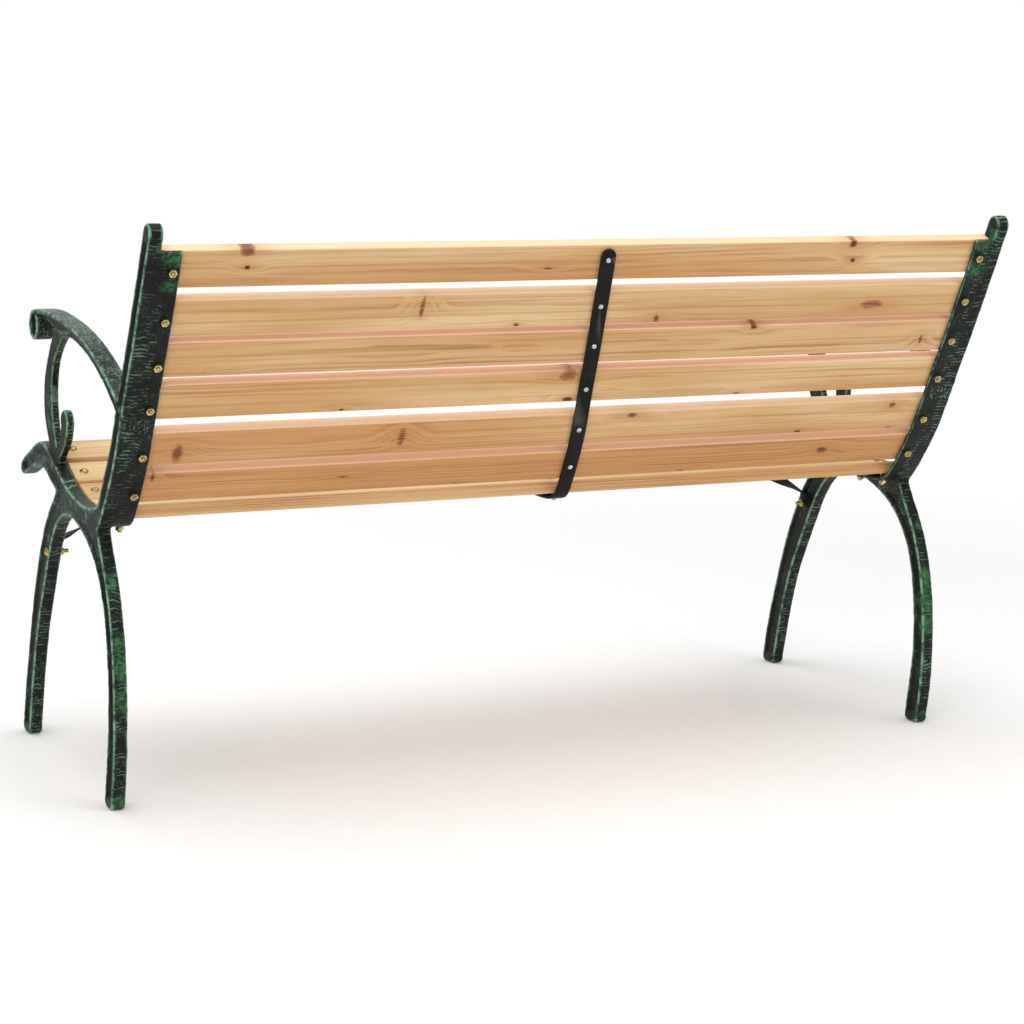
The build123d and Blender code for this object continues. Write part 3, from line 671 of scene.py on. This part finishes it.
def settle(piece, slot, material, *nodes):
    """Give a piece its material, and let it stand in for its CAD nodes."""
    piece.data.materials.clear()
    piece.data.materials.append(material)
    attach(piece, "root")
    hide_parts(*nodes)


# ---- The bench --------------------------------------------------------------------------------
# bevels of the metal pieces' edges
BAR_EDGE = 0.0005
NUT_EDGE = 0.0006
BOLT_EDGE = 0.0004
SCREW_EDGE = 0.00015

for i in range(len(BACK_KNOTS)):
    node = f"back_slat_{i + 1}"
    paint = wood("fir_" + node, 1.0 + i * 2.3, BACK_PITH[i], BACK_TONE[i], BACK_PINK_AND_HIGHLIGHT[i],
                 BACK_KNOTS[i], BACK_TOP_HIGHLIGHT[i])
    settle(make_slat(node, i, BACK_KNOTS[i]), "fir_wood", paint, node)
for i in range(len(SEAT_KNOTS)):
    node = f"seat_slat_{i + 1}"
    paint = wood("fir_" + node, 20.0 + i * 1.9, SEAT_PITH[i], (0.0, 0.0), 0.0, SEAT_KNOTS[i], 0.0)
    settle(make_slat(node, 10 + i, SEAT_KNOTS[i]), "fir_wood", paint, node)

iron = cast_paint()
for node, side in (("end_frame_left", 1), ("end_frame_right", -1)):
    settle(make_casting(node, side), "green_cast_iron", iron, node)

steel = black_steel()
refined("centre_strap", "strap_bar", "black_steel", steel, BAR_EDGE)
refined("brace_left", "knee_brace_left", "black_steel", steel, BAR_EDGE)
refined("brace_right", "knee_brace_right", "black_steel", steel, BAR_EDGE)

brass = plated("yellow_plated_nut", srgb(224, 208, 158), srgb(178, 156, 104), 0.24)
bolt_brass = plated("yellow_plated_bolt", srgb(206, 182, 122), srgb(140, 114, 66), 0.26)
zinc = plated("bright_zinc", srgb(222, 224, 226), srgb(150, 154, 158), 0.16)
for row in ("back", "seat"):
    for end in ("left", "right"):
        refined(f"{row}_nuts_{end}", f"hex_nuts_{row}_{end}", "brass", brass, NUT_EDGE)
        refined(f"{row}_bolts_{end}", f"coach_bolts_{row}_{end}", "brass", bolt_brass, BOLT_EDGE)
refined("brace_nuts", "hex_nuts_brace", "brass", brass, NUT_EDGE)
refined("brace_bolts", "coach_bolts_brace", "brass", bolt_brass, BOLT_EDGE)
refined("strap_back_screws", "pan_screws_back", "zinc_steel", zinc, SCREW_EDGE)
refined("strap_seat_screws", "pan_screws_seat", "zinc_steel", zinc, SCREW_EDGE)
refined("brace_screws", "pan_screws_brace", "zinc_steel", zinc, SCREW_EDGE)


# ---- Studio ---------------------------------------------------------------------------------
FLOOR_RADIUS = 2.7


def pale_floor():
    """Pale matt floor that fades into the white surround."""
    s = Shader("pale_floor")
    point = s.object_point()
    speckle = s.noise(point, 30.0, 3.0, 0.5)
    colour = s.mix(speckle, (0.88, 0.88, 0.875, 1), (0.92, 0.92, 0.915, 1))
    x, y = s.apart(point)[:2]
    away = s.math("SQRT", s.add(s.times(x, x), s.times(y, y)))
    solid = s.step(away, 2.6, 1.0)
    diffuse = s.node("ShaderNodeBsdfDiffuse", {"Color": colour})
    clear = s.node("ShaderNodeBsdfTransparent", {})
    either = s.node("ShaderNodeMixShader", {0: solid, 1: clear.outputs[0],
                                            2: diffuse.outputs[0]})
    return s.surface(either)


mesh = bmesh.new()
bmesh.ops.create_circle(mesh, cap_ends=True, segments=96, radius=FLOOR_RADIUS)
data = bpy.data.meshes.new("floor")
mesh.to_mesh(data)
mesh.free()
floor = bpy.data.objects.new("floor", data)
floor.location = (0, 0, -0.0005)
data.materials.append(pale_floor())
bpy.context.scene.collection.objects.link(floor)


def area_light(name, place, target, size, power):
    """A soft rectangular light that faces a target."""
    light = bpy.data.lights.new(name, "AREA")
    light.shape = "RECTANGLE"
    light.size = size[0]
    light.size_y = size[1]
    light.energy = power
    lamp = bpy.data.objects.new(name, light)
    lamp.location = place
    way = Vector(target) - Vector(place)
    lamp.rotation_euler = way.to_track_quat("-Z", "Y").to_euler()
    bpy.context.scene.collection.objects.link(lamp)


area_light("top", (0.2, 0.4, 3.2), (0, 0.1, 0.4), (4.0, 3.0), 76)
area_light("rear_key", (2.6, 3.4, 2.2), (0, 0.2, 0.45), (2.6, 2.0), 49)
area_light("rear_fill", (-2.4, 3.0, 0.9), (0, 0.2, 0.4), (2.6, 1.8), 26)
area_light("front_fill", (0.5, -3.4, 1.8), (0, 0, 0.4), (3.0, 2.0), 26)

# the surround is plain white to the camera, and lights the bench more weakly than it looks
AMBIENT = 0.55
world = bpy.data.worlds.new("studio")
world.use_nodes = True
tree = world.node_tree
tree.nodes.clear()
seen = tree.nodes.new("ShaderNodeBackground")
seen.inputs[0].default_value = (1.0, 1.0, 1.0, 1)
seen.inputs[1].default_value = 1.0
lit = tree.nodes.new("ShaderNodeBackground")
lit.inputs[0].default_value = (1.0, 1.0, 1.0, 1)
lit.inputs[1].default_value = AMBIENT
path = tree.nodes.new("ShaderNodeLightPath")
either = tree.nodes.new("ShaderNodeMixShader")
out = tree.nodes.new("ShaderNodeOutputWorld")
tree.links.new(path.outputs["Is Camera Ray"], either.inputs[0])
tree.links.new(lit.outputs[0], either.inputs[1])
tree.links.new(seen.outputs[0], either.inputs[2])
tree.links.new(either.outputs[0], out.inputs[0])
bpy.context.scene.world = world
bpy.context.scene.view_settings.view_transform = "Standard"

# camera behind the bench, to the sitter's left, a little above it
CAMERA_PLACE = (1.5673, 3.2858, 0.9695)
CAMERA_LENS = 89.12
CAMERA_SHIFT = (0.0195, -0.1465)
yaw, pitch, roll = math.radians(25.08), math.radians(6.5), math.radians(1.02)
ahead = Vector((-math.sin(yaw) * math.cos(pitch), -math.cos(yaw) * math.cos(pitch),
                -math.sin(pitch)))
level = Vector((-math.cos(yaw), math.sin(yaw), 0))
upward = level.cross(ahead)
right = level * math.cos(roll) + upward * math.sin(roll)
upward = upward * math.cos(roll) - level * math.sin(roll)
camera = bpy.data.objects.new("camera", bpy.data.cameras.new("camera"))
camera.data.sensor_width = 36
camera.data.lens = CAMERA_LENS
camera.data.shift_x, camera.data.shift_y = CAMERA_SHIFT
camera.data.clip_end = 100
turn = Matrix((right, upward, -ahead)).transposed().to_4x4()
camera.matrix_world = Matrix.Translation(CAMERA_PLACE) @ turn
bpy.context.scene.collection.objects.link(camera)
bpy.context.scene.camera = camera
